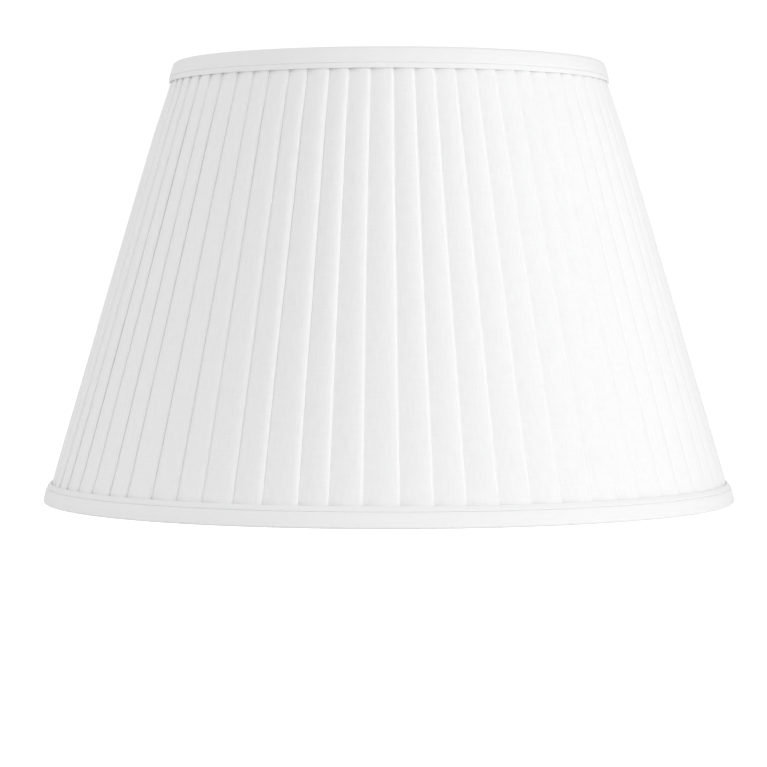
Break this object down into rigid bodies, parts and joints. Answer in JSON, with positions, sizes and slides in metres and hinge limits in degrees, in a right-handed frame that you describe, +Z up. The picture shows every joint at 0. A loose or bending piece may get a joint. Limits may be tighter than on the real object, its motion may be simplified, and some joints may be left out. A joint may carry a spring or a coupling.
{
  "type": "lamp shade",
  "caption": "Knife-pleated linen empire lamp shade with folded trims, on a strutted wire frame with a gimbal fitter ring that tilts.",
  "frame": {"origin": "centre of the plane that the bottom rim rests on", "axes": "+Z up along the shade's axis, -Y the front, X along the gimbal's pivot axis"},
  "size_m": [0.4506, 0.4506, 0.285],
  "materials": {
    "pleated_linen": "matt white plain-weave linen, pressed into knife pleats",
    "trim_linen": "matt white linen cut on the bias and folded",
    "lining_cotton": "smooth off-white cotton, stretched",
    "cotton_tape": "natural cotton tape",
    "coated_wire": "white powder-coated steel wire",
    "coated_steel": "white powder-coated pressed steel",
    "clip_steel": "bright zinc-plated spring steel",
    "reducer_plastic": "satin white moulded plastic"
  },
  "bodies": {
    "shade": {"pleated_cover": "pleated_linen", "lining": "lining_cotton", "top_trim": "trim_linen", "bottom_trim": "trim_linen", "top_tape": "cotton_tape", "bottom_tape": "cotton_tape", "top_ring": "coated_wire", "bottom_ring": "coated_wire", "strut_1": "coated_wire", "strut_2": "coated_wire", "strut_3": "coated_wire", "strut_4": "coated_wire", "strut_5": "coated_wire", "strut_6": "coated_wire", "strut_7": "coated_wire", "strut_8": "coated_wire", "gimbal_arm_right": "coated_wire", "gimbal_arm_left": "coated_wire", "arm_sleeve_right": "lining_cotton", "arm_sleeve_left": "lining_cotton", "pivot_clip_right": "clip_steel", "pivot_clip_left": "clip_steel"},
    "fitter": {"fitter_ring": "coated_steel", "reducer_ring": "reducer_plastic"}
  },
  "joints": [
    {"name": "fitter_tilt", "type": "hinge", "parent": "shade", "child": "fitter", "pos_m": [0, 0, 0.25], "axis": [1, 0, 0], "continuous": true}
  ]
}
